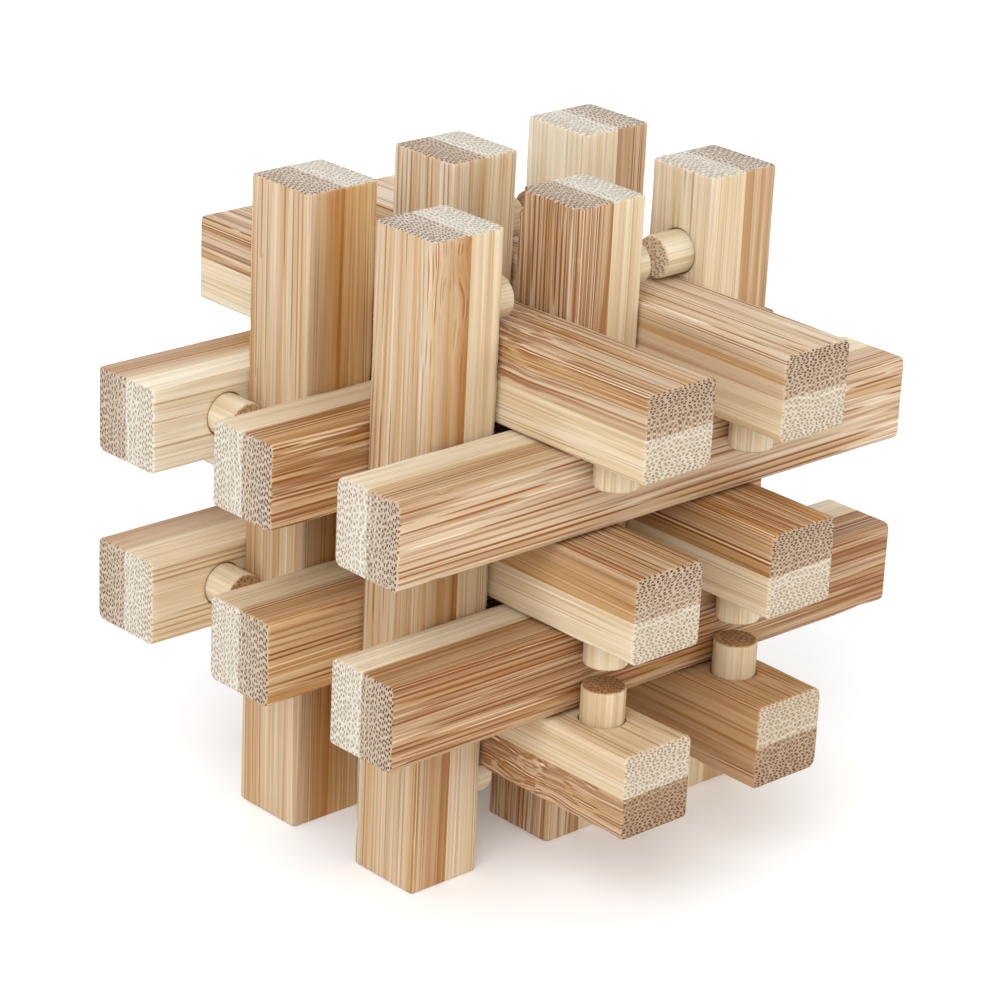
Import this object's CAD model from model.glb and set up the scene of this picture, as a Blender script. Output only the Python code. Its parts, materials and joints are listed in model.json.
"""Looks of a laminated bamboo burr puzzle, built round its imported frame.

Every bar is a dark and a pale strip of bamboo glued face to face, and most bars carry two
dowel pegs. Each of those pieces is a mesh of its own here, with worn edges, drilled holes and
end grain, and takes one of three bamboo finishes. Lengths inside the classes are millimetres
in the bar's own axes; vertices are written in metres in the frame's axes.
"""

import json
import logging
import math
import zlib
from dataclasses import dataclass, field
from enum import Enum
from typing import Any, ClassVar, Optional, Union

import bmesh
import bpy
import numpy as np
from mathutils import Matrix, Vector, noise

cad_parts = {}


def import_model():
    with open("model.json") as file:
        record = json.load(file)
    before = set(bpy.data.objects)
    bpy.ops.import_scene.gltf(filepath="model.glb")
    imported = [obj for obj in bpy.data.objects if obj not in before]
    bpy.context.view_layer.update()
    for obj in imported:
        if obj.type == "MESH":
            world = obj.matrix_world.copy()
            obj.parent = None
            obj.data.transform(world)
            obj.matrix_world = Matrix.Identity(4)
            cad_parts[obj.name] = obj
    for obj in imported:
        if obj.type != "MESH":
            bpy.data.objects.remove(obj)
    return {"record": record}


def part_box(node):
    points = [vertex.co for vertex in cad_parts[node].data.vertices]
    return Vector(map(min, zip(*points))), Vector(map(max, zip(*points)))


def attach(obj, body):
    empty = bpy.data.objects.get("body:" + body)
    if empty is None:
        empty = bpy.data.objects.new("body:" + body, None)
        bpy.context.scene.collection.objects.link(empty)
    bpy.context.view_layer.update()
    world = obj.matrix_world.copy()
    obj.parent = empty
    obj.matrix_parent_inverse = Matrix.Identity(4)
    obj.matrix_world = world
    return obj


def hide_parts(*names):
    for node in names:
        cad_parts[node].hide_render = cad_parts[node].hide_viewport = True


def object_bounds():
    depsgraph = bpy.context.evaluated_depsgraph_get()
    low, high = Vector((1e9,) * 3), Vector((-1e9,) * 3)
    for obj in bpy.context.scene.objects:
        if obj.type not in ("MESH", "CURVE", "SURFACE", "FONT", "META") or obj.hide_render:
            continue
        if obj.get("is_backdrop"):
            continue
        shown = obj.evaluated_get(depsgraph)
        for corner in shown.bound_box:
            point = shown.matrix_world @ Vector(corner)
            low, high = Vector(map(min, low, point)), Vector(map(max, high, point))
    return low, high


LOG = logging.getLogger("burr_puzzle")
MM = 0.001
WELD = 0.002  # millimetres under which a cut's vertices are joined
SHARP_ANGLE = math.radians(38)
GRAIN_SHIFT = (50, 900)  # how far into the grain a piece may be cut, in millimetres
WHITE = (1.0, 1.0, 1.0, 1.0)

Colour = tuple[float, float, float]
Span = tuple[float, float]


def tint(code: str) -> Colour:
    """Linear colour of an RRGGBB code.

    Args:
        code: six hexadecimal digits of a display colour.

    Returns:
        The scene-linear red, green and blue.
    """
    parts = [int(code[i : i + 2], 16) / 255 for i in (0, 2, 4)]
    red, green, blue = (
        p / 12.92 if p <= 0.04045 else ((p + 0.055) / 1.055) ** 2.4 for p in parts
    )
    return red, green, blue


def dice(name: str) -> np.random.Generator:
    """A random source that always gives the same draws for one name."""
    return np.random.default_rng(zlib.crc32(name.encode()))


# --------------------------------------------------------------------------- shader maths


class Wire:
    """A socket that can stand in a sum: each operator adds the Math node that it names."""

    def __init__(self, shader: "Shader", socket: bpy.types.NodeSocket) -> None:
        """Wraps one output socket of a shader's tree."""
        self.shader = shader
        self.socket = socket

    def __add__(self, other: "Number") -> "Wire":
        """Sum of two numbers."""
        return self.shader.math("ADD", self, other)

    __radd__ = __add__

    def __sub__(self, other: "Number") -> "Wire":
        """This number less another."""
        return self.shader.math("SUBTRACT", self, other)

    def __rsub__(self, other: "Number") -> "Wire":
        """Another number less this one."""
        return self.shader.math("SUBTRACT", other, self)

    def __mul__(self, other: "Number") -> "Wire":
        """Product of two numbers."""
        return self.shader.math("MULTIPLY", self, other)

    __rmul__ = __mul__

    def __pow__(self, other: "Number") -> "Wire":
        """This number raised to a power."""
        return self.shader.math("POWER", self, other)

    def beside(self, output: Union[str, int]) -> "Wire":
        """Another output of the same node."""
        return Wire(self.shader, self.socket.node.outputs[output])


Number = Union[Wire, float, int]
Place = tuple[Wire, Wire, Wire]


class Shader:
    """One material's node tree, built from expressions."""

    def __init__(self, name: str) -> None:
        """Starts an empty material.

        Args:
            name: the material's name.
        """
        self.material = bpy.data.materials.new(name)
        self.material.use_nodes = True
        self.tree = self.material.node_tree
        self.tree.nodes.clear()

    def node(
        self,
        kind: str,
        settings: Optional[dict[str, Any]] = None,
        sockets: Optional[dict[Union[str, int], Any]] = None,
        output: Union[str, int] = 0,
    ) -> Wire:
        """Adds a node.

        Args:
            kind: the node's type.
            settings: its properties, which are set first.
            sockets: input name or number to a value or a Wire.
            output: name or number of the output wanted.

        Returns:
            The wanted output.
        """
        made = self.tree.nodes.new(kind)
        for key, value in (settings or {}).items():
            setattr(made, key, value)
        for key, value in (sockets or {}).items():
            if isinstance(value, Wire):
                self.tree.links.new(value.socket, made.inputs[key])
            else:
                made.inputs[key].default_value = value
        return Wire(self, made.outputs[output])

    def shown_by(self, surface: Wire) -> bpy.types.Material:
        """Ends the tree.

        Args:
            surface: the surface shader that the material shows.

        Returns:
            The material.
        """
        made = self.tree.nodes.new("ShaderNodeOutputMaterial")
        self.tree.links.new(surface.socket, made.inputs["Surface"])
        return self.material

    def math(self, operation: str, *values: Number) -> Wire:
        """One Math node on up to three numbers."""
        return self.node("ShaderNodeMath", {"operation": operation}, dict(enumerate(values)))

    def vector_math(self, operation: str, *values: Any) -> Wire:
        """One Vector Math node on vectors."""
        return self.node("ShaderNodeVectorMath", {"operation": operation}, dict(enumerate(values)))

    def scaled(self, vector: Wire, factor: Number) -> Wire:
        """A vector or colour times a number."""
        sockets = {0: vector, "Scale": factor}
        return self.node("ShaderNodeVectorMath", {"operation": "SCALE"}, sockets)

    def attribute(self, name: str, output: str) -> Wire:
        """A mesh attribute's Vector, Color or Fac."""
        settings = {"attribute_type": "GEOMETRY", "attribute_name": name}
        return self.node("ShaderNodeAttribute", settings, output=output)

    def parts(self, vector: Wire) -> Place:
        """A vector's three numbers."""
        first = self.node("ShaderNodeSeparateXYZ", sockets={0: vector})
        return first, first.beside(1), first.beside(2)

    def joined(self, x: Number, y: Number, z: Number) -> Wire:
        """A vector from three numbers."""
        return self.node("ShaderNodeCombineXYZ", sockets={0: x, 1: y, 2: z})

    def noise(self, vector: Wire, detail: float, output: str) -> Wire:
        """A noise texture between 0 and 1, one unit of the vector wide."""
        sockets = {"Vector": vector, "Scale": 1.0, "Detail": detail}
        return self.node("ShaderNodeTexNoise", {"noise_dimensions": "3D"}, sockets, output)

    def step(self, value: Number, low: Number, high: Number) -> Wire:
        """0 at low and 1 at high, smooth between; low may be the larger."""
        sockets = {"Value": value, "From Min": low, "From Max": high}
        return self.node("ShaderNodeMapRange", {"interpolation_type": "SMOOTHSTEP"}, sockets)

    def mix(self, factor: Number, first: Any, second: Any) -> Wire:
        """A colour from first, at factor 0, to second, at factor 1."""
        a, b = ((*c, 1.0) if isinstance(c, tuple) else c for c in (first, second))
        return self.node("ShaderNodeMix", {"data_type": "RGBA"}, {0: factor, 6: a, 7: b}, 2)


# --------------------------------------------------------------------------- finishes


class Run(Enum):
    """How often one unevenness of the wood changes, across the fibres and along them."""

    DRIFT = (0.14, 0.012)
    EDDY = (0.24, 0.13)
    BAND = (0.5, 0.006)
    SHADE = (0.9, 0.2)
    FINE = (1.5, 0.012)
    FLECK = (2.2, 0.025)
    HAIR = (2.8, 0.04)

    def at(self, s: Shader, place: Place, detail: float = 1.0, output: str = "Fac") -> Wire:
        """Noise of this run.

        Args:
            s: the shader.
            place: towards the skin, across and along.
            detail: octaves of the noise.
            output: name of the noise's output.

        Returns:
            The noise, between 0 and 1.
        """
        u, v, along = place
        often_across, often_along = self.value
        spread = s.joined(u * often_across, v * often_across, along * often_along)
        return s.noise(spread, detail, output)


@dataclass(frozen=True)
class Grain:
    """Sizes of the grain, the same in every bamboo.

    Distances are in bundle widths. A reach is where a mark starts and where it is full, as
    distances from its middle. A range is where a noise's mark starts and where it is full.
    """

    depth: float = 5.0
    bundles_per_mm: float = 1.35
    inner_crowding: float = 0.7
    crowding_per_mm: float = 0.09
    drift: Span = (2.6, 1.8)
    stagger: float = 0.5
    scatter: float = 0.3
    sheath_at: float = 0.29
    sheath_squeeze: float = 1.3
    luck_range: Span = (0.15, 0.8)
    weakest: float = 0.3
    line_reach: Span = (0.25, 0.13)
    gleam_reach: Span = (0.18, 0.09)
    pit_reach: Span = (0.25, 0.12)
    dot_reach: Span = (0.35, 0.21)
    core_reach: Span = (0.2, 0.11)
    core_closing: float = 0.07
    core_share: float = 0.85
    dot_shares: tuple[float, float, float] = (0.45, 0.35, 0.2)
    inner_lines: float = 0.45
    plain_lines: float = 0.4
    streaked_lines: float = 0.95
    swirl_streaks: float = 0.08
    band_range: Span = (0.3, 0.6)
    band_lean: float = 0.12
    fine_low_range: Span = (0.5, 0.7)
    fine_low_share: float = 0.35
    fine_pale_range: Span = (0.48, 0.3)
    fine_pale_share: float = 0.3
    fleck_range: Span = (0.62, 0.76)
    fleck_lean: float = 0.16
    fleck_shares: Span = (0.15, 0.55)
    shade_range: Span = (0.35, 0.65)
    shade_detail: float = 3.0
    hair_relief: float = 0.5
    pit_relief: Span = (0.35, 0.3)
    relief_strength: float = 0.3
    relief_depth: float = 0.00005
    hair_roughness: float = 0.25
    end_roughness: float = 0.15
    specular: float = 0.3
    tone_green: float = 1.6
    tone_blue: float = 2.3
    gold_green: float = 0.4


@dataclass(frozen=True)
class Bamboo:
    """One bamboo finish, read from the attributes that the pieces carry.

    The grain attribute is (depth from the inner face, place across, place along) in
    millimetres. Fibre bundles run along the piece: they show as dots on its ends and as
    lines on its sides, and stand closer together towards the outer skin of the culm. The
    look attribute is (tone, amount of brown streaks, swirl of the fibres), the gold
    attribute is how far the wood leans to amber, and the end attribute is 1 on sawn ends.
    """

    name: str
    ground: Colour
    ground_low: Colour
    line: Colour
    gleam: Colour
    streak: Colour
    end_ground: Colour
    end_low: Colour
    end_dot: Colour
    end_core: Colour
    line_strength: float
    gleam_strength: float
    hair_strength: float
    end_strength: float
    roughness: float
    size: Grain = Grain()

    def material(self) -> bpy.types.Material:
        """Builds the node tree.

        Returns:
            The material.
        """
        s, g = Shader(self.name), self.size
        tone, streaks, swirl = s.parts(s.attribute("look", "Vector"))
        inward, across, along = s.parts(s.attribute("grain", "Vector"))
        end = s.attribute("end", "Fac")
        skin = inward * (1 / g.depth)

        u, v = self._fibre_place(s, inward, across, along, swirl)
        place = (u, v, along)
        bundles = self._bundles(s, u, v)
        hair = Run.HAIR.at(s, place)
        side = self._side(s, place, skin, streaks + swirl * g.swirl_streaks, bundles)
        side = s.scaled(side, 1 + (hair - 0.5) * self.hair_strength)
        face = self._sawn(s, place, skin, bundles)

        gold = s.attribute("gold", "Fac")
        green = tone**g.tone_green * (1 - gold * g.gold_green)
        stain = s.joined(tone, green, tone**g.tone_blue * (1 - gold))
        side_pit, end_pit = g.pit_relief
        pit = s.step(bundles[0], *g.pit_reach) * (side_pit + end * end_pit)
        normal = s.node(
            "ShaderNodeBump",
            sockets={
                "Strength": g.relief_strength,
                "Distance": g.relief_depth,
                "Height": hair * g.hair_relief - pit,
            },
        )
        rough = self.roughness + (hair - 0.5) * g.hair_roughness + end * g.end_roughness
        shader = s.node(
            "ShaderNodeBsdfPrincipled",
            sockets={
                "Base Color": s.vector_math("MULTIPLY", s.mix(end, side, face), stain),
                "Roughness": rough,
                "Specular IOR Level": g.specular,
                "Normal": normal,
            },
        )
        return s.shown_by(shader)

    def _fibre_place(
        self, s: Shader, inward: Wire, across: Wire, along: Wire, swirl: Wire
    ) -> tuple[Wire, Wire]:
        """Place among the fibres, in bundle widths, with their slow drift and their swirls.

        Args:
            s: the shader.
            inward: depth from the inner face.
            across: place across.
            along: place along.
            swirl: how far a culm node upsets the fibres here.

        Returns:
            The place towards the skin and the place across it.
        """
        g, place = self.size, (inward, across, along)
        drift_u, drift_v, _ = s.parts(Run.DRIFT.at(s, place, output="Color"))
        eddy_u, eddy_v, _ = s.parts(Run.EDDY.at(s, place, output="Color"))
        crowded = inward * (g.inner_crowding + inward * g.crowding_per_mm)
        far_u, far_v = g.drift
        u = crowded * g.bundles_per_mm + (drift_u - 0.5) * far_u + (eddy_u - 0.5) * swirl
        v = across * g.bundles_per_mm + (drift_v - 0.5) * far_v + (eddy_v - 0.5) * swirl
        return u, v

    def _bundles(self, s: Shader, u: Wire, v: Wire) -> Place:
        """How far the nearest bundle's parts are.

        The bundles stand in staggered rows, and each has a pale vessel between two dark
        sheaths, one towards the skin and one away from it.

        Args:
            s: the shader.
            u: place towards the skin, in bundle widths.
            v: place across, in bundle widths.

        Returns:
            The distances from a sheath and from the vessel, and the bundle's strength.
        """
        g = self.size
        slant = v + u * g.stagger
        centre = s.node(
            "ShaderNodeTexVoronoi",
            {"voronoi_dimensions": "2D", "feature": "F1"},
            {"Vector": s.joined(u, slant, 0.0), "Scale": 1.0, "Randomness": g.scatter},
            "Position",
        )
        centre_u, centre_v, _ = s.parts(centre)
        luck, _, _ = s.parts(centre.beside("Color"))
        off_u = u - centre_u
        off_v = slant - centre_v - off_u * g.stagger
        cap = s.math("ABSOLUTE", off_u) - g.sheath_at
        sheath = s.math("SQRT", cap * cap + off_v * off_v * g.sheath_squeeze)
        vessel = s.math("SQRT", off_u * off_u + off_v * off_v)
        return sheath, vessel, g.weakest + s.step(luck, *g.luck_range) * (1 - g.weakest)

    def _side(self, s: Shader, place: Place, skin: Wire, streaks: Wire, bundles: Place) -> Wire:
        """Colour of a planed side.

        Args:
            s: the shader.
            place: towards the skin, across and along.
            skin: 0 at the inner face and 1 at the skin.
            streaks: how much brown the wood has.
            bundles: distances from a sheath and from a vessel, and the bundle's strength.

        Returns:
            The colour.
        """
        g = self.size
        band, fine, fleck = (run.at(s, place) for run in (Run.BAND, Run.FINE, Run.FLECK))
        by_depth = g.inner_lines + skin * (1 - g.inner_lines)
        showing = by_depth * (g.plain_lines + streaks * g.streaked_lines)
        banded = s.step(band - skin * g.band_lean, *g.band_range)
        colour = s.mix(banded, self.ground, self.ground_low)
        low = s.step(fine, *g.fine_low_range) * g.fine_low_share
        colour = s.mix(low, colour, self.ground_low)
        pale = s.step(fine, *g.fine_pale_range) * g.fine_pale_share
        colour = s.mix(pale, colour, self.gleam)
        sheath, vessel, strength = bundles
        line = s.step(sheath, *g.line_reach) * strength
        colour = s.mix(line * showing * self.line_strength, colour, self.line)
        gleam = s.step(vessel, *g.gleam_reach) * strength
        colour = s.mix(gleam * showing * self.gleam_strength, colour, self.gleam)
        plain, streaked = g.fleck_shares
        brown = s.step(fleck + streaks * g.fleck_lean, *g.fleck_range)
        return s.mix(brown * (plain + streaks * streaked), colour, self.streak)

    def _sawn(self, s: Shader, place: Place, skin: Wire, bundles: Place) -> Wire:
        """Colour of a sawn end, with the bundles as dots.

        Args:
            s: the shader.
            place: towards the skin, across and along.
            skin: 0 at the inner face and 1 at the skin.
            bundles: distances from a sheath and from a vessel, and the bundle's strength.

        Returns:
            The colour.
        """
        g = self.size
        shade = Run.SHADE.at(s, place, g.shade_detail)
        colour = s.mix(s.step(shade, *g.shade_range), self.end_ground, self.end_low)
        sheath, vessel, strength = bundles
        least, by_skin, by_strength = g.dot_shares
        dot = s.step(sheath, *g.dot_reach) * (least + skin * by_skin + strength * by_strength)
        colour = s.mix(dot * self.end_strength, colour, self.end_dot)
        core = s.step(vessel + skin * g.core_closing, *g.core_reach)
        return s.mix(core * g.core_share, colour, self.end_core)


NATURAL = Bamboo(
    name="natural_bamboo",
    ground=tint("d8c3a4"),
    ground_low=tint("cbb18b"),
    line=tint("9c6f31"),
    gleam=tint("e8dfcc"),
    streak=tint("a07338"),
    end_ground=tint("c9bdaa"),
    end_low=tint("beb09a"),
    end_dot=tint("7b5428"),
    end_core=tint("e4dac9"),
    line_strength=1.1,
    gleam_strength=0.8,
    hair_strength=0.38,
    end_strength=0.8,
    roughness=0.52,
)
CARBONIZED = Bamboo(
    name="carbonized_bamboo",
    ground=tint("c4a98a"),
    ground_low=tint("b28a5a"),
    line=tint("8a5119"),
    gleam=tint("ddcab0"),
    streak=tint("8b5524"),
    end_ground=tint("b39b80"),
    end_low=tint("a68b71"),
    end_dot=tint("431a02"),
    end_core=tint("d3c3a8"),
    line_strength=1.4,
    gleam_strength=1.0,
    hair_strength=0.46,
    end_strength=1.0,
    roughness=0.54,
)
DOWEL = Bamboo(
    name="dowel_bamboo",
    ground=tint("dccdb1"),
    ground_low=tint("ceb793"),
    line=tint("a5804f"),
    gleam=tint("ece0c6"),
    streak=tint("a37a48"),
    end_ground=tint("c4a37d"),
    end_low=tint("b39068"),
    end_dot=tint("65391a"),
    end_core=tint("ccb08a"),
    line_strength=0.5,
    gleam_strength=0.5,
    hair_strength=0.26,
    end_strength=0.75,
    roughness=0.52,
)


# --------------------------------------------------------------------------- mesh helpers


def smooth_noise(*place: float) -> float:
    """Smooth noise between about -1 and 1 at a place of three numbers."""
    return noise.noise(Vector(place))


def loft(rings: np.ndarray) -> bmesh.types.BMesh:
    """Joins closed rings into a tube with flat ends.

    Args:
        rings: array of ring, point and the point's three numbers.

    Returns:
        The closed mesh, with its normals outward.
    """
    mesh = bmesh.new()
    count = rings.shape[1]
    rows = [[mesh.verts.new(point) for point in ring] for ring in rings]
    for low, high in zip(rows, rows[1:]):
        for i in range(count):
            j = (i + 1) % count
            mesh.faces.new((low[i], low[j], high[j], high[i]))
    mesh.faces.new(rows[0][::-1])
    mesh.faces.new(rows[-1])
    bmesh.ops.recalc_face_normals(mesh, faces=mesh.faces)
    return mesh


def lathe(outline: list[Span], segments: int, out_of_round: float) -> np.ndarray:
    """Rings of a turned piece about its X axis.

    Args:
        outline: (place along X, radius) from one end to the other.
        segments: points in a ring.
        out_of_round: how far a ring's radius strays, as a share.

    Returns:
        The rings, for loft.
    """
    angles = np.linspace(0, 2 * np.pi, segments, endpoint=False)
    wander, seed = 3, 4.0
    stray = [
        1 + out_of_round * smooth_noise(wander * math.cos(a), wander * math.sin(a), seed)
        for a in angles
    ]
    return np.array(
        [
            [(x, r * k * math.cos(a), r * k * math.sin(a)) for a, k in zip(angles, stray)]
            for x, r in outline
        ]
    )


def as_object(name: str, mesh: bmesh.types.BMesh) -> bpy.types.Object:
    """Puts a bmesh into the scene, and frees it.

    Args:
        name: the object's name.
        mesh: its shape.

    Returns:
        The object.
    """
    data = bpy.data.meshes.new(name)
    mesh.to_mesh(data)
    mesh.free()
    made = bpy.data.objects.new(name, data)
    bpy.context.scene.collection.objects.link(made)
    return made


def cut(piece: bpy.types.Object, cutter: bmesh.types.BMesh) -> None:
    """Takes the cutter's shape out of a piece for good.

    Args:
        piece: the object to cut.
        cutter: a closed mesh in the same axes.
    """
    tool = as_object(piece.name + "_cutter", cutter)
    boolean = piece.modifiers.new("cut", "BOOLEAN")
    boolean.operation = "DIFFERENCE"
    boolean.solver = "EXACT"
    boolean.object = tool
    graph = bpy.context.evaluated_depsgraph_get()
    done = bpy.data.meshes.new_from_object(piece.evaluated_get(graph))
    welded = bmesh.new()
    welded.from_mesh(done)
    bmesh.ops.remove_doubles(welded, verts=welded.verts, dist=WELD)
    welded.to_mesh(done)
    welded.free()
    piece.modifiers.clear()
    old, piece.data = piece.data, done
    bpy.data.meshes.remove(old)
    bpy.data.objects.remove(tool)


# --------------------------------------------------------------------------- the bars


class Family(Enum):
    """A bar's direction, as (axis of its length, axis across its glue line)."""

    POST = (2, 0)
    RAIL = (0, 1)
    BEAM = (1, 2)


@dataclass(frozen=True)
class Chip:
    """A splinter broken off a strip's outer edge, in the strip's own axes.

    The side is -1 or 1, for the edge at low or high Y, and at is its place along the bar.
    """

    side: int
    at: float
    size: float
    length: float


@dataclass(frozen=True)
class Swirl:
    """Fibres upset by a node of the cane, in the strip's own axes.

    They are strongest at a place along and across the bar, and fade over the reach.
    """

    at: float = 0.0
    across: float = 0.0
    upset: float = 0.0
    reach: float = 9.0


@dataclass(frozen=True)
class Character:
    """What sets one strip's wood apart: its tone, brown streaks, swirled fibres and wear.

    A tone over 1 is paler and under 1 is browner, and gold leans it to amber. The inner tone
    and the inner gold are those at the glued face. The edges are the rounding of the outer
    edges at low and high Y, drawn where not given.
    """

    tone: float = 1.0
    inner: float = 1.0
    streaks: float = 0.2
    swirl: Swirl = Swirl()
    edges: Optional[Span] = None
    chips: tuple[Chip, ...] = ()
    end_tone: float = 1.0
    gold: float = 0.0
    inner_gold: float = 0.0


@dataclass
class Axes:
    """A bar's own axes: X from its dark face to its pale one, Z along it, in millimetres."""

    origin: Vector
    x: Vector
    y: Vector
    z: Vector

    @classmethod
    def of(cls, family: Family, dark: str, pale: str) -> "Axes":
        """Reads a bar's axes from its two strips' boxes.

        Args:
            family: the bar's direction.
            dark: node of its dark strip.
            pale: node of its pale strip.

        Returns:
            The axes.
        """
        (dark_low, dark_high), (pale_low, pale_high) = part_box(dark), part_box(pale)
        length_axis, glue_axis = family.value
        low = Vector(map(min, dark_low, pale_low))
        high = Vector(map(max, dark_high, pale_high))
        x, z = Vector((0, 0, 0)), Vector((0, 0, 0))
        x[glue_axis] = math.copysign(1.0, (pale_low - dark_low)[glue_axis])
        z[length_axis] = 1.0
        return cls((low + high) / 2, x, z.cross(x), z)

    def inside(self, low: Vector, high: Vector) -> tuple[Vector, Vector]:
        """A box of the frame, seen in the bar's axes.

        Args:
            low: its low corner in the frame, in metres.
            high: its high corner.

        Returns:
            Its low and high corners in the bar's axes, in millimetres.
        """
        ends = [
            Vector([(corner - self.origin).dot(axis) / MM for axis in (self.x, self.y, self.z)])
            for corner in (low, high)
        ]
        return Vector(map(min, *ends)), Vector(map(max, *ends))

    def matrix(self) -> Matrix:
        """The bar's axes to the frame's, in metres."""
        turn = Matrix((self.x, self.y, self.z)).transposed().to_4x4()
        return Matrix.Translation(self.origin) @ turn @ Matrix.Scale(MM, 4)


@dataclass
class Piece:
    """What every wooden piece of a bar shares: its attributes, finish and place.

    The end tone is that of its sawn ends, which fade out past the end margin.
    """

    name: str
    node: str
    axes: Axes
    finish: Bamboo
    character: Character
    end_tone: float = 1.0
    end_margin: float = 0.02
    made: Optional[bpy.types.Object] = field(default=None, init=False)

    def carry(self, grain: np.ndarray, end: np.ndarray, swirl: np.ndarray) -> None:
        """Writes the attributes that the finish reads, then moves the mesh into the frame.

        Args:
            grain: depth, across and along of each vertex.
            end: 1 where the vertex is on sawn end grain.
            swirl: how far the fibres are upset at each vertex.
        """
        data = self.made.data
        who = self.character
        skin = np.clip(grain[:, 0] / self.finish.size.depth, 0, 1)
        tone = who.inner + (who.tone - who.inner) * skin
        tone += (self.end_tone * who.end_tone - tone) * end
        gold = (who.inner_gold + (who.gold - who.inner_gold) * skin) * (1 - end)
        look = np.stack([tone, np.full(len(tone), who.streaks), swirl], axis=1)
        for name, values in (("grain", grain), ("look", look)):
            made = data.attributes.new(name, "FLOAT_VECTOR", "POINT")
            made.data.foreach_set("vector", values.astype(np.float32).ravel())
        for name, values in (("end", end), ("gold", gold)):
            made = data.attributes.new(name, "FLOAT", "POINT")
            made.data.foreach_set("value", values.astype(np.float32))
        data.transform(self.axes.matrix())

    def dress(self, material: bpy.types.Material, body: str) -> None:
        """Gives the piece its material, shading, body and slot.

        Args:
            material: the finish's material.
            body: the body that the piece moves with.
        """
        data = self.made.data
        data.materials.clear()
        data.materials.append(material)
        data.shade_smooth()
        data.set_sharp_from_angle(angle=SHARP_ANGLE)
        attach(self.made, body)
        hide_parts(self.node)

    def places(self) -> np.ndarray:
        """Where the mesh's vertices are, before it is moved into the frame.

        Returns:
            Their places in the bar's axes, one row each.
        """
        flat = np.empty(len(self.made.data.vertices) * 3, np.float32)
        self.made.data.vertices.foreach_get("co", flat)
        return flat.reshape(-1, 3).astype(float)


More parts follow.
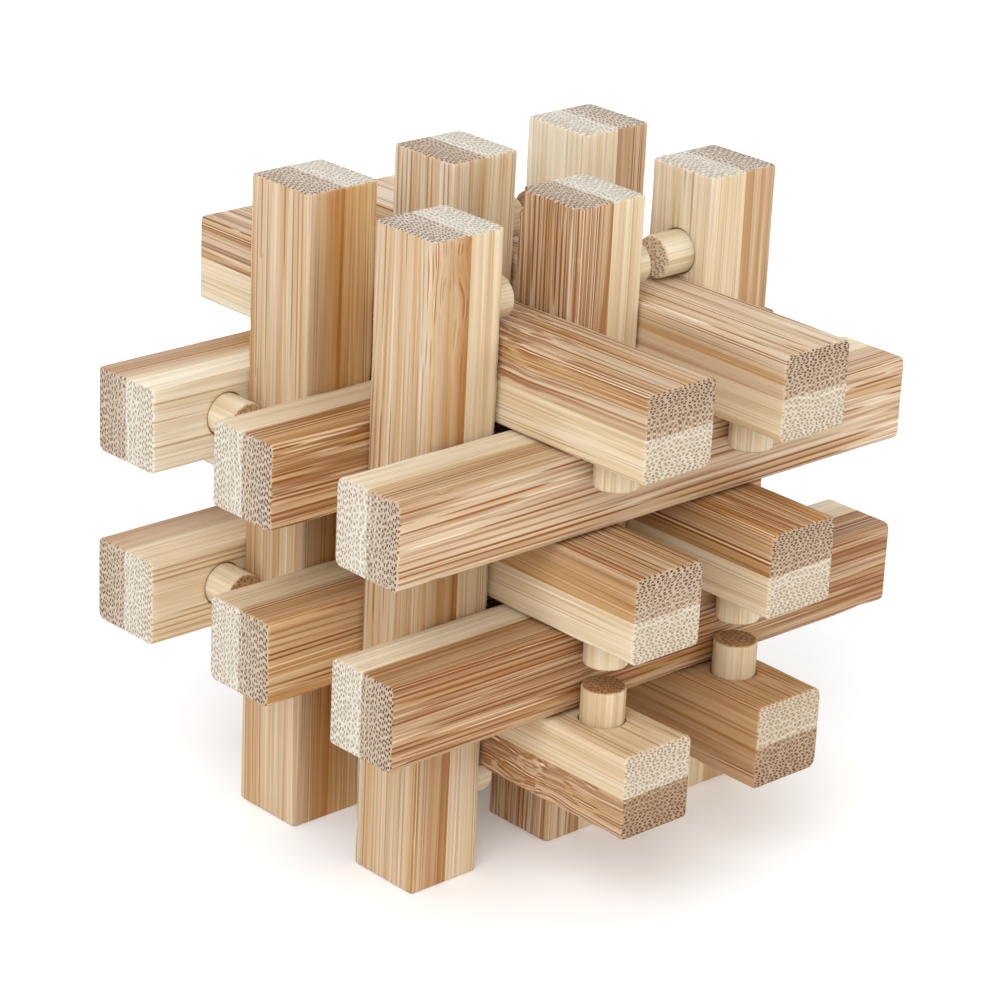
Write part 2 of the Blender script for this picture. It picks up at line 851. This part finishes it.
@dataclass
class Strip(Piece):
    """One strip of a bar, flat on its glued face and rounded on its two outer edges.

    The rounding of an edge wavers along the bar and is widened by a few nicks. The rim is the
    rounding round the two end faces. A guard is a narrow band beside a rounding, which keeps
    the shading of the flat face next to it flat. The hole slack is the gap round a peg, and
    the mouth is the broken edge of its hole. A splinter's raggedness is given as octaves of
    noise: how much, how often across, and how often along.
    """

    edge_radius: Span = (0.4, 0.95)
    edge_waver: float = 0.25
    waver_per_mm: float = 0.16
    nick_count: tuple[int, int] = (1, 4)
    nick_depth: Span = (0.1, 0.35)
    nick_reach: float = 0.9
    nick_margin: float = 2.0
    ragged: tuple[tuple[float, float, float], ...] = ((0.22, 2.5, 1.2), (0.1, 7.0, 2.0))
    rim_radius: float = 0.3
    rim_steps: int = 5
    guard: float = 0.07
    ring_gap: float = 0.9
    arc_steps: int = 5
    side_shares: tuple[float, ...] = (0, 0.33, 0.66, 1)
    top_points: int = 8
    glue_points: int = 6
    hole_slack: float = 0.13
    mouth: float = 0.16
    lean: float = 0.012
    end_fade: float = 0.4
    swirl_squeeze: float = 2.0

    def __post_init__(self) -> None:
        """Reads the strip's size from its box."""
        low, high = self.axes.inside(*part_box(self.node))
        self.outward = 1.0 if low.x + high.x > 0 else -1.0
        self.glue = low.x if self.outward > 0 else high.x
        self.thick = high.x - low.x
        self.half_width = (high.y - low.y) / 2
        self.half_length = (high.z - low.z) / 2
        self.dice = dice(self.name)
        drawn = self.dice.uniform(*self.edge_radius, 2)
        self.radii = self.character.edges or drawn

    def build(self, pegs: Optional["Pegs"]) -> None:
        """Makes the strip's mesh.

        Args:
            pegs: the pegs whose holes it has, if any.
        """
        self.made = as_object(self.name, loft(self._rings()))
        if pegs is not None:
            for end in (-1, 1):
                cut(self.made, pegs.hole(end, self.hole_slack, self.mouth))
        for chip in self.character.chips:
            cut(self.made, self._splinter(chip))
        self._carry_grain()

    def _splinter(self, chip: Chip) -> bmesh.types.BMesh:
        """The cutter of one chip.

        Args:
            chip: the splinter that is missing.

        Returns:
            A ragged lens along the edge that it is broken from.
        """
        mesh = bmesh.new()
        bmesh.ops.create_icosphere(mesh, subdivisions=4, radius=1.0)
        x, y = self._flat(self.thick, chip.side * self.half_width)
        for vert in mesh.verts:
            off = vert.co.copy()
            rough = 1.0
            for much, often, often_along in self.ragged:
                drawn_out = off.z * often_along + chip.at
                rough += much * smooth_noise(off.x * often, off.y * often, drawn_out)
            wide, long = chip.size * rough, chip.length * rough
            vert.co = Vector((x + off.x * wide, y + off.y * wide, chip.at + off.z * long))
        return mesh

    def _rings(self) -> np.ndarray:
        """The strip's cross-sections.

        Returns:
            The rings from one end to the other, for loft.
        """
        rim, flat_half = self.rim_radius, self.half_length - self.rim_radius
        ends = [
            (flat_half + rim * math.sin(a), rim * (1 - math.cos(a)), 0.0)
            for a in np.linspace(0, math.pi / 2, self.rim_steps)
        ]
        ends.append((self.half_length, rim + self.guard, self.guard))
        count = int(2 * flat_half / self.ring_gap)
        middle = [(z, 0.0, 0.0) for z in np.linspace(-flat_half, flat_half, count)[1:-1]]
        stations = [(-z, inset, foot) for z, inset, foot in reversed(ends)] + middle + ends
        phase = self.dice.uniform(0, 500, 2)
        nicks = [self._nicks() for _ in range(2)]
        rings = []
        for z, inset, foot in stations:
            waver = [smooth_noise(z * self.waver_per_mm, p, 0.0) for p in phase]
            radii = [
                radius * (1 + self.edge_waver * w) + self._nick(z, found)
                for radius, w, found in zip(self.radii, waver, nicks)
            ]
            outline = self._outline(inset, foot, *radii)
            rings.append([(*self._flat(depth, y), z) for depth, y in outline])
        return np.array(rings)

    def _nicks(self) -> list[Span]:
        """Draws an edge's few small dents.

        Returns:
            Their places along the bar and their depths.
        """
        found = int(self.dice.integers(*self.nick_count))
        reach = self.half_length - self.nick_margin
        draw = self.dice.uniform
        return [(draw(-reach, reach), draw(*self.nick_depth)) for _ in range(found)]

    def _nick(self, z: float, nicks: list[Span]) -> float:
        """How much the dents widen an edge's rounding at z."""
        return sum(deep * math.exp(-(((z - at) / self.nick_reach) ** 2)) for at, deep in nicks)

    def _flat(self, depth: float, y: float) -> Span:
        """X and Y of a point at a depth outward from the glued face."""
        return self.glue + self.outward * depth, y

    def _outline(
        self, inset: float, foot: float, low_radius: float, high_radius: float
    ) -> list[Span]:
        """A cross-section as (depth, Y) points.

        Args:
            inset: how far its outer sides stand in from the strip's faces.
            foot: how far it stands in from the glued face.
            low_radius: rounding of the edge on the -Y side.
            high_radius: rounding of the edge on the +Y side.

        Returns:
            The points, in order round the section.
        """
        top, half = self.thick - inset, self.half_width - inset
        angles = np.linspace(0, math.pi / 2, self.arc_steps + 1)
        turn = [(math.cos(a), math.sin(a)) for a in angles]
        low_start, high_start = top - low_radius, top - high_radius
        low_side, high_side = low_start - self.guard - foot, high_start - self.guard - foot
        low_y, high_y = low_radius + self.guard - half, half - high_radius - self.guard
        points = [(foot + share * low_side, -half) for share in self.side_shares]
        points += [(low_start + low_radius * s, low_radius * (1 - c) - half) for c, s in turn]
        points += [(top, y) for y in np.linspace(low_y, high_y, self.top_points)]
        points += [(high_start + high_radius * c, half - high_radius * (1 - s)) for c, s in turn]
        points += [(foot + share * high_side, half) for share in self.side_shares[::-1]]
        points += [(foot, y) for y in np.linspace(half, -half, self.glue_points)[1:-1]]
        return points

    def _carry_grain(self) -> None:
        """Writes the strip's attributes from its vertices' places."""
        x, y, z = self.places().T
        shift = self.dice.uniform(*GRAIN_SHIFT, 2)
        lean = self.dice.uniform(-self.lean, self.lean, 2)
        depth = self.outward * (x - self.glue)
        grain = [depth + lean[0] * z, y + lean[1] * z + shift[0], z + shift[1]]
        reach = self.half_length - np.abs(z) - self.end_margin
        end = np.clip(1 - reach / (self.rim_radius * self.end_fade), 0, 1)
        swirl = self.character.swirl
        off = np.hypot(z - swirl.at, self.swirl_squeeze * (y - swirl.across))
        upset = swirl.upset * np.exp(-((off / swirl.reach) ** 2))
        self.carry(np.stack(grain, axis=1), end, upset)


@dataclass
class Pegs(Piece):
    """The two dowel pegs of a bar, each turned round X and seated in the pale face.

    The rim is the rounding round a peg's tip, and the tail the break round its other end. The
    shaft's rings start and stop at its margins from these. A hole runs past the peg's two ends
    by its overrun, and its mouth opens in two steps: up to the waist, and then in full at the
    lip, just over the pale face.
    """

    rim_radius: float = 0.32
    rim_steps: int = 6
    guard: float = 0.08
    tail: float = 0.2
    shaft_points: int = 8
    shaft_margins: Span = (1.0, 0.1)
    segments: int = 56
    out_of_round: float = 0.014
    hole_out_of_round: float = 0.01
    hole_overrun: Span = (0.01, 1.0)
    mouth_waist: float = 0.3
    mouth_lip: float = 0.02
    end_fade: float = 0.15

    def __post_init__(self) -> None:
        """Reads the pegs' size from their box."""
        low, high = self.axes.inside(*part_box(self.node))
        self.floor, self.tip = low.x, high.x
        self.radius = (high.y - low.y) / 2
        self.at = (high.z - low.z) / 2 - self.radius
        self.face = self.axes.inside(*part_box(self.node.replace("_pegs", "_pale_strip")))[1].x
        self.dice = dice(self.name)

    def build(self) -> None:
        """Makes both pegs as one object of two closed solids."""
        rim, shoulder = self.rim_radius, self.tip - self.rim_radius
        outline = [(self.floor, self.radius - self.tail), (self.floor + self.tail, self.radius)]
        after, before = self.shaft_margins
        shaft = np.linspace(self.floor + after, shoulder - before, self.shaft_points)
        outline += [(x, self.radius) for x in shaft]
        outline += [
            (shoulder + rim * math.sin(a), self.radius - rim * (1 - math.cos(a)))
            for a in np.linspace(0, math.pi / 2, self.rim_steps)
        ]
        outline.append((self.tip, self.radius - rim - self.guard))
        both = bmesh.new()
        for end in (-1, 1):
            peg = loft(self._turned(outline, self.out_of_round, end))
            whole = bpy.data.meshes.new("peg")
            peg.to_mesh(whole)
            peg.free()
            both.from_mesh(whole)
            bpy.data.meshes.remove(whole)
        self.made = as_object(self.name, both)
        self._carry_grain()

    def hole(self, end: int, slack: float, mouth: float) -> bmesh.types.BMesh:
        """The cutter of one peg's hole, with its mouth broken where it leaves the pale face.

        Args:
            end: -1 or 1, for the hole near that end of the bar.
            slack: gap round the peg.
            mouth: size of the broken edge.

        Returns:
            A closed mesh in the bar's axes.
        """
        wide, waist = self.radius + slack, mouth * self.mouth_waist
        below, above = self.hole_overrun
        outline = [
            (self.floor - below, wide),
            (self.face - mouth, wide),
            (self.face - waist, wide + waist),
            (self.face + self.mouth_lip, wide + mouth),
            (self.face + above, wide + mouth),
        ]
        return loft(self._turned(outline, self.hole_out_of_round, end))

    def _turned(self, outline: list[Span], out_of_round: float, end: int) -> np.ndarray:
        """Rings turned round the axis of the peg near one end of the bar."""
        return lathe(outline, self.segments, out_of_round) + np.array((0, 0, end * self.at))

    def _carry_grain(self) -> None:
        """Writes the pegs' attributes from their vertices' places."""
        x, y, z = self.places().T
        near = np.sign(z)
        turn = np.where(near > 0, *self.dice.uniform(0, math.tau, 2))
        shift = np.where(near > 0, *self.dice.uniform(*GRAIN_SHIFT, 2))
        z -= near * self.at
        inward = self.radius + y * np.cos(turn) + z * np.sin(turn)
        across = z * np.cos(turn) - y * np.sin(turn) + shift
        end = np.clip(1 - (self.tip - x - self.end_margin) / self.end_fade, 0, 1)
        self.carry(np.stack([inward, across, x + shift], axis=1), end, np.zeros(len(x)))


@dataclass
class Bar:
    """One bar: a dark strip, a pale strip and, on most bars, two pegs."""

    name: str
    body: str
    dark_look: Character
    pale_look: Character
    dowel_look: Character
    has_pegs: bool
    end_tones: ClassVar[dict[Family, Span]] = {
        Family.POST: (1.3, 1.14),
        Family.RAIL: (1.18, 1.1),
        Family.BEAM: (1.0, 1.0),
    }

    def build(self, materials: dict[str, bpy.types.Material]) -> None:
        """Makes the bar's pieces.

        Args:
            materials: finish name to material.
        """
        family = Family[self.name.split("_")[0].upper()]
        dark, pale = self.name + "_dark_strip", self.name + "_pale_strip"
        axes = Axes.of(family, dark, pale)
        pieces: list[Piece] = []
        pegs = None
        if self.has_pegs:
            pegs = Pegs(self.name + "_dowels", self.name + "_pegs", axes, DOWEL, self.dowel_look)
            pegs.build()
            pieces.append(pegs)
        woods = ((dark, CARBONIZED, self.dark_look), (pale, NATURAL, self.pale_look))
        for (node, finish, look), end_tone in zip(woods, self.end_tones[family]):
            strip = Strip(node.replace("_strip", "_bamboo"), node, axes, finish, look, end_tone)
            strip.build(pegs)
            pieces.append(strip)
        for piece in pieces:
            piece.dress(materials[piece.finish.name], self.body)
            LOG.info("%s in %s, on %s", piece.name, piece.finish.name, self.body)


@dataclass
class Puzzle:
    """The whole puzzle, bar by bar, with the wood that each bar is cut from.

    A bar that the tables leave out has its wood drawn from the ranges, with a fixed tone at
    the glued face.
    """

    record: dict[str, Any]
    dark_tone: Span = (0.9, 1.08)
    dark_inner: float = 0.98
    dark_streaks: Span = (0.1, 0.6)
    pale_tone: Span = (0.94, 1.06)
    pale_inner: float = 1.02
    pale_streaks: Span = (0.0, 0.25)
    dowel_tone: Span = (0.9, 1.04)
    dowel_inner: float = 0.96
    dowel_streaks: float = 0.3
    dowel_end: Span = (0.8, 1.1)
    dark_woods: dict[str, Character] = field(
        default_factory=lambda: {
            "post_left_front": Character(
                1.09, 0.79, 0.1, Swirl(33.0, -6.0, 3.0, 8.0), edges=(0.35, 0.7), inner_gold=0.28
            ),
            "post_left_back": Character(1.06, 0.82, 0.1, inner_gold=0.58, end_tone=0.96),
            "post_middle_front": Character(
                1.01,
                1.0,
                1.0,
                end_tone=0.9,
                chips=(Chip(1, 37.2, 1.2, 2.6), Chip(1, 33.2, 0.7, 2.6), Chip(1, 29.5, 0.5, 1.8)),
            ),
            "post_middle_back": Character(1.24, 1.08, 0.1, end_tone=0.86),
            "post_right_back": Character(0.98, 0.86, 0.4),
            "rail_front_upper": Character(1.04, 1.12, 0.65),
            "rail_front_lower": Character(0.82, 0.86, 0.9, end_tone=0.96),
            "rail_key_upper": Character(1.04, 1.02, 1.1, gold=0.22),
            "rail_key_lower": Character(0.99, 0.98, 0.6, gold=0.27),
            "beam_top_left": Character(1.0, 1.04, 0.8, Swirl(-6.0, 4.0, 5.0, 12.0)),
            "beam_top_right": Character(1.12, 1.0, 0.35, end_tone=1.05),
            "beam_middle_left": Character(0.88, 1.09, 0.85, end_tone=1.08),
            "beam_middle_right": Character(1.0, 0.98, 1.05, gold=0.25),
            "beam_bottom_left": Character(
                0.95, 0.98, 0.7, Swirl(-20.0, -4.0, 5.0, 13.0), end_tone=0.83
            ),
            "beam_bottom_right": Character(0.75, 0.75, 0.3, edges=(0.45, 1.0), end_tone=0.88),
        }
    )
    dowel_woods: dict[str, Character] = field(
        default_factory=lambda: {
            "post_right_front": Character(1.1, 1.06, 0.2, end_tone=1.55),
            "post_middle_front": Character(1.04, 1.0, 0.2, end_tone=1.3),
            "beam_bottom_left": Character(0.9, 0.88, 0.3, end_tone=0.72),
            "beam_bottom_right": Character(0.9, 0.9, 0.2, end_tone=0.8),
        }
    )
    pale_woods: dict[str, Character] = field(
        default_factory=lambda: {
            "post_left_front": Character(0.96, 0.99, 0.1, edges=(0.95, 0.5)),
            "post_left_back": Character(0.94, 0.8, 0.5, gold=0.3, inner_gold=0.45),
            "post_right_back": Character(1.16, 1.12, 0.1),
            "rail_front_upper": Character(1.12, 1.12, 0.2, edges=(0.95, 1.0)),
            "rail_front_lower": Character(1.15, 1.15, 0.2),
            "rail_back_upper": Character(1.16, 1.1, 0.2),
            "rail_back_lower": Character(1.04, 1.04, 0.2, gold=0.1),
            "beam_top_left": Character(1.04, 1.06, 0.1, edges=(1.2, 0.35)),
            "beam_top_right": Character(0.95, 0.95, 0.2),
            "beam_middle_left": Character(1.05, 1.06, 0.15),
            "beam_bottom_left": Character(0.93, 0.95, 0.2, edges=(0.35, 0.95)),
            "beam_bottom_right": Character(
                0.68, 0.68, 0.4, edges=(0.4, 1.05), end_tone=0.92, gold=0.1, inner_gold=0.1
            ),
        }
    )

    def build(self) -> None:
        """Makes every bar of the record's bodies."""
        materials = {finish.name: finish.material() for finish in (NATURAL, CARBONIZED, DOWEL)}
        for body, nodes in self.record["behaviour"]["bodies"].items():
            for node in nodes:
                if node.endswith("_dark_strip"):
                    name = node.removesuffix("_dark_strip")
                    self._bar(name, body, name + "_pegs" in nodes).build(materials)

    def _bar(self, name: str, body: str, has_pegs: bool) -> Bar:
        """One bar, with its wood.

        Args:
            name: the bar's name.
            body: the body that it moves with.
            has_pegs: whether it has pegs.

        Returns:
            The bar, not built yet.
        """
        draw = dice(name).uniform
        dark = Character(draw(*self.dark_tone), self.dark_inner, draw(*self.dark_streaks))
        pale = Character(draw(*self.pale_tone), self.pale_inner, draw(*self.pale_streaks))
        tone, end_tone = draw(*self.dowel_tone), draw(*self.dowel_end)
        dowel = Character(tone, self.dowel_inner, self.dowel_streaks, end_tone=end_tone)
        return Bar(
            name,
            body,
            self.dark_woods.get(name, dark),
            self.pale_woods.get(name, pale),
            self.dowel_woods.get(name, dowel),
            has_pegs,
        )


# --------------------------------------------------------------------------- the studio


@dataclass(frozen=True)
class SoftBox:
    """A square area light that faces the puzzle's middle."""

    name: str
    place: Colour
    power: float
    colour: Colour
    size: float = 0.7

    def build(self, middle: Vector) -> None:
        """Hangs the light.

        Args:
            middle: the place that it faces.
        """
        light = bpy.data.lights.new(self.name, "AREA")
        light.size = self.size
        light.energy = self.power
        light.color = self.colour
        made = bpy.data.objects.new(self.name, light)
        bpy.context.scene.collection.objects.link(made)
        made.location = Vector(self.place)
        made.rotation_euler = (middle - made.location).to_track_quat("-Z", "Y").to_euler()


@dataclass
class Studio:
    """A pale floor, soft lights and the camera."""

    middle: Vector
    floor_reach: float = 3.0
    floor_grey: float = 0.95
    floor_roughness: float = 0.9
    floor_glow: float = 0.12
    sky_strength: float = 0.62
    lights: tuple[SoftBox, ...] = (
        SoftBox("key_light", (-0.65, -0.4, 0.65), 7.0, (0.93, 0.98, 1.04)),
        SoftBox("fill_light", (0.45, -0.75, 0.35), 2.35, (1.0, 0.96, 0.87)),
        SoftBox("back_light", (0.3, 0.7, 0.6), 2.9, (0.96, 1.0, 1.05)),
    )
    azimuth: float = -43.364
    elevation: float = 21.767
    roll: float = 2.71
    distance: float = 0.4085
    lens: float = 128.1
    clip: Span = (0.01, 20.0)
    aim_right: float = -0.00037
    aim_up: float = -0.00151

    def build(self) -> None:
        """Makes the floor, the lights and the camera."""
        self._floor()
        self._world()
        for light in self.lights:
            light.build(self.middle)
        self._camera()
        bpy.context.scene.view_settings.view_transform = "Standard"

    def _floor(self) -> None:
        """A wide plain floor that the puzzle stands on."""
        mesh = bmesh.new()
        bmesh.ops.create_grid(mesh, x_segments=1, y_segments=1, size=self.floor_reach)
        floor = as_object("floor", mesh)
        s = Shader("floor_paper")
        shader = s.node(
            "ShaderNodeBsdfPrincipled",
            sockets={
                "Base Color": (self.floor_grey, self.floor_grey, self.floor_grey, 1.0),
                "Roughness": self.floor_roughness,
                "Emission Color": WHITE,
                "Emission Strength": self.floor_glow,
            },
        )
        floor.data.materials.append(s.shown_by(shader))
        floor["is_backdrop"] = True

    def _world(self) -> None:
        """Even white light from all round."""
        world = bpy.data.worlds.new("studio")
        bpy.context.scene.world = world
        world.use_nodes = True
        background = world.node_tree.nodes["Background"]
        background.inputs["Color"].default_value = WHITE
        background.inputs["Strength"].default_value = self.sky_strength

    def _camera(self) -> None:
        """The camera, turned a little about its own line of sight."""
        around, above, tilt = map(math.radians, (self.azimuth, self.elevation, self.roll))
        flat = Vector((math.sin(around), -math.cos(around), 0))
        back = flat * math.cos(above) + Vector((0, 0, math.sin(above)))
        level = (-back).cross(Vector((0, 0, 1))).normalized()
        upright = level.cross(-back)
        right = level * math.cos(tilt) + upright * math.sin(tilt)
        up = upright * math.cos(tilt) - level * math.sin(tilt)
        data = bpy.data.cameras.new("camera")
        data.lens = self.lens
        data.clip_start, data.clip_end = self.clip
        camera = bpy.data.objects.new("camera", data)
        bpy.context.scene.collection.objects.link(camera)
        place = self.middle + back * self.distance + right * self.aim_right + up * self.aim_up
        turn = Matrix((right, up, back)).transposed().to_4x4()
        camera.matrix_world = Matrix.Translation(place) @ turn
        bpy.context.scene.camera = camera


def main() -> None:
    """Loads the frame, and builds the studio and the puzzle."""
    logging.basicConfig(level=logging.INFO, format="%(name)s: %(message)s")
    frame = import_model()
    cad_box = [list(corner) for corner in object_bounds()]
    low, high = map(Vector, cad_box)
    Studio((low + high) / 2).build()
    Puzzle(frame["record"]).build()


if __name__ == "__main__":
    main()
